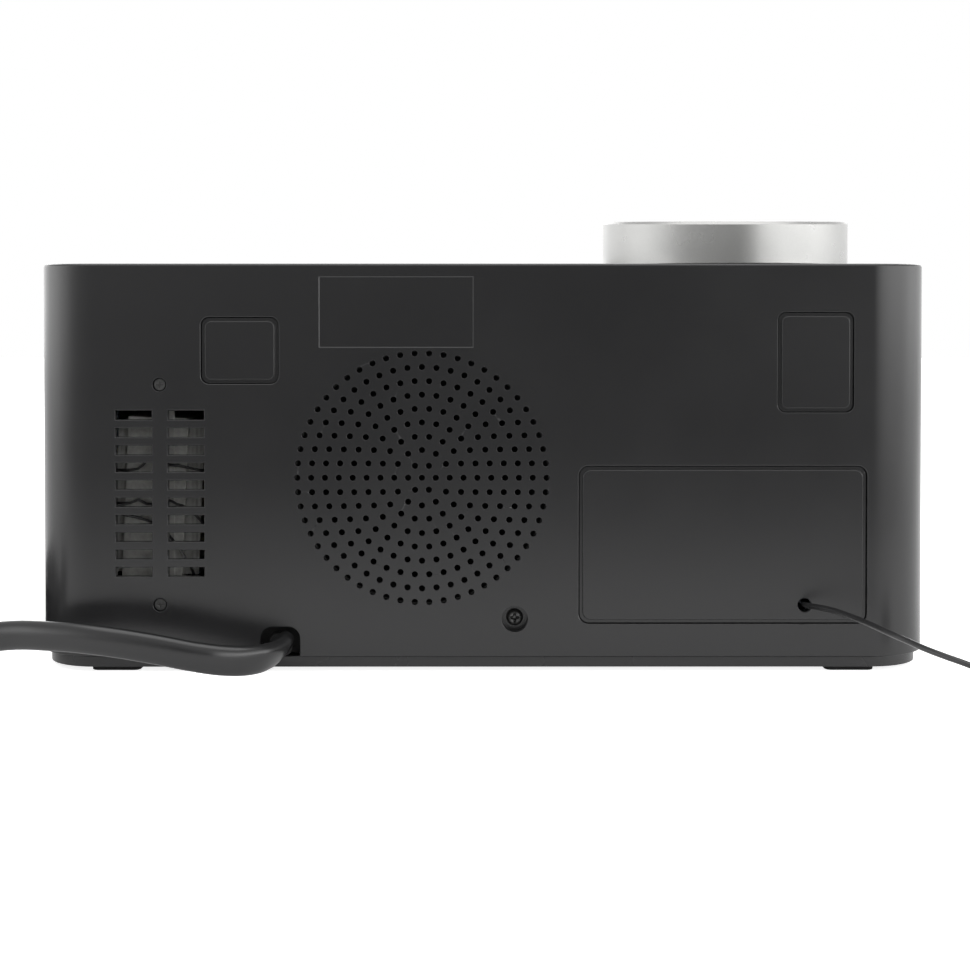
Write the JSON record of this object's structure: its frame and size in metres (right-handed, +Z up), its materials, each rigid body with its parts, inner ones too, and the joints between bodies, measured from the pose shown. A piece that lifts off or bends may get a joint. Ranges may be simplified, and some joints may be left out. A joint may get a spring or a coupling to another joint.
{
  "type": "projection alarm clock",
  "caption": "Mains clock radio with a display across its front, a swivelling turret with a tilting time projector, top keys, a speaker in the rear wall, a mains cord and an aerial wire.",
  "frame": {"origin": "on the table, under the middle of the cabinet", "axes": "+X to the right of someone reading the display, +Y from the display to the rear wall, +Z up"},
  "size_m": [0.3544, 0.1326, 0.1065],
  "materials": {
    "cabinet_plastic": "satin dark grey",
    "base_plastic": "fine texture",
    "black_plastic": "fine texture",
    "key_plastic": "satin",
    "rubber": "matte",
    "cord_sheath": "satin",
    "silver_plastic": "satin silver lacquer on plastic",
    "window_plastic": "polished, tinted",
    "digit_glow": "lit",
    "digit_dark": "unlit",
    "board": "green solder mask",
    "steel": "zinc plated",
    "capacitor_sleeve": "shrunk sleeve",
    "coil_tape": "wound tape",
    "magnet": "ferrite grey",
    "cone_paper": "pressed paper",
    "lamp_body": "clear",
    "film": "polished",
    "lens": "polished",
    "cell_wrap": "plain wrapper"
  },
  "bodies": {
    "cabinet": {"rear_cabinet": "cabinet_plastic", "front_cabinet": "cabinet_plastic", "top_panel": "cabinet_plastic", "base_plate": "base_plastic", "rubber_feet": "rubber", "left_blanking_plate": "cabinet_plastic", "right_blanking_plate": "cabinet_plastic", "aerial_panel": "cabinet_plastic", "cabinet_screw": "steel", "base_screws": "steel", "transformer_screws": "steel", "display_window": "window_plastic", "digit_module": "black_plastic", "lit_segments": "digit_glow", "unlit_segments": "digit_dark", "display_board": "board", "main_board": "board", "board_screws": "steel", "radio_can": "steel", "board_chips": "black_plastic", "board_capacitors": "capacitor_sleeve", "transformer_core": "steel", "transformer_coil": "coil_tape", "transformer_bracket": "steel", "transformer_leads": "cord_sheath", "speaker_frame": "steel", "speaker_magnet": "magnet", "speaker_cone": "cone_paper", "speaker_clips": "steel", "key_board": "board", "key_switches": "steel", "backup_cells": "cell_wrap", "battery_contacts": "steel", "strain_relief": "rubber", "mains_cord": "cord_sheath", "mains_coil": "cord_sheath", "plug_body": "cord_sheath", "plug_blades": "steel", "cord_tie": "rubber", "aerial_wire": "cord_sheath", "aerial_coil": "cord_sheath"},
    "turret": {"turret_cover": "silver_plastic", "turret_body": "black_plastic", "turret_retainer": "black_plastic"},
    "pod": {"projector_pod": "black_plastic", "pod_lamp": "lamp_body", "time_film": "film"},
    "focus": {"focus_ring": "key_plastic"},
    "lens": {"lens_cell": "black_plastic", "projector_lens": "lens"},
    "snooze": {"snooze_bar": "key_plastic"},
    "battery_cover": {"battery_door": "base_plastic"},
    "alarm_1": {"alarm_1_key": "key_plastic"},
    "alarm_2": {"alarm_2_key": "key_plastic"},
    "sleep": {"sleep_key": "key_plastic"},
    "projector": {"projector_key": "key_plastic"},
    "tune_down": {"tune_down_key": "key_plastic"},
    "tune_up": {"tune_up_key": "key_plastic"},
    "volume_down": {"volume_down_key": "key_plastic"},
    "volume_up": {"volume_up_key": "key_plastic"}
  },
  "joints": [
    {"name": "turret_swivel", "type": "hinge", "parent": "cabinet", "child": "turret", "pos_m": [-0.0604, 0, 0.0935], "axis": [0, 0, 1], "range_deg": [-120, 120]},
    {"name": "pod_tilt", "type": "hinge", "parent": "turret", "child": "pod", "pos_m": [-0.0604, 0, 0.087], "axis": [1, 0, 0], "range_deg": [0, 45]},
    {"name": "focus_turn", "type": "hinge", "parent": "pod", "child": "focus", "pos_m": [-0.0604, 0, 0.1], "axis": [0, 0, 1], "range_deg": [-60, 60]},
    {"name": "lens_travel", "type": "slide", "parent": "pod", "child": "lens", "axis": [0, 0, 1], "range_m": [-0.0008, 0.0008]},
    {"name": "snooze_press", "type": "slide", "parent": "cabinet", "child": "snooze", "axis": [0, 0, -1], "range_m": [0, 0.0008], "stiffness_N_per_m": 600, "springref_m": -0.002},
    {"name": "battery_door_slide", "type": "slide", "parent": "cabinet", "child": "battery_cover", "axis": [0, -1, 0], "range_m": [0, 0.032]},
    {"name": "alarm_1_press", "type": "slide", "parent": "cabinet", "child": "alarm_1", "axis": [0, 0, -1], "range_m": [0, 0.0005], "stiffness_N_per_m": 400, "springref_m": -0.002},
    {"name": "alarm_2_press", "type": "slide", "parent": "cabinet", "child": "alarm_2", "axis": [0, 0, -1], "range_m": [0, 0.0005], "stiffness_N_per_m": 400, "springref_m": -0.002},
    {"name": "sleep_press", "type": "slide", "parent": "cabinet", "child": "sleep", "axis": [0, 0, -1], "range_m": [0, 0.0005], "stiffness_N_per_m": 400, "springref_m": -0.002},
    {"name": "projector_press", "type": "slide", "parent": "cabinet", "child": "projector", "axis": [0, 0, -1], "range_m": [0, 0.0005], "stiffness_N_per_m": 400, "springref_m": -0.002},
    {"name": "tune_down_press", "type": "slide", "parent": "cabinet", "child": "tune_down", "axis": [0, 0, -1], "range_m": [0, 0.0005], "stiffness_N_per_m": 400, "springref_m": -0.002},
    {"name": "tune_up_press", "type": "slide", "parent": "cabinet", "child": "tune_up", "axis": [0, 0, -1], "range_m": [0, 0.0005], "stiffness_N_per_m": 400, "springref_m": -0.002},
    {"name": "volume_down_press", "type": "slide", "parent": "cabinet", "child": "volume_down", "axis": [0, 0, -1], "range_m": [0, 0.0005], "stiffness_N_per_m": 400, "springref_m": -0.002},
    {"name": "volume_up_press", "type": "slide", "parent": "cabinet", "child": "volume_up", "axis": [0, 0, -1], "range_m": [0, 0.0005], "stiffness_N_per_m": 400, "springref_m": -0.002}
  ],
  "couplings": [
    {"joint": "focus_turn", "follows": "lens_travel", "rad_per_m": 1300}
  ]
}
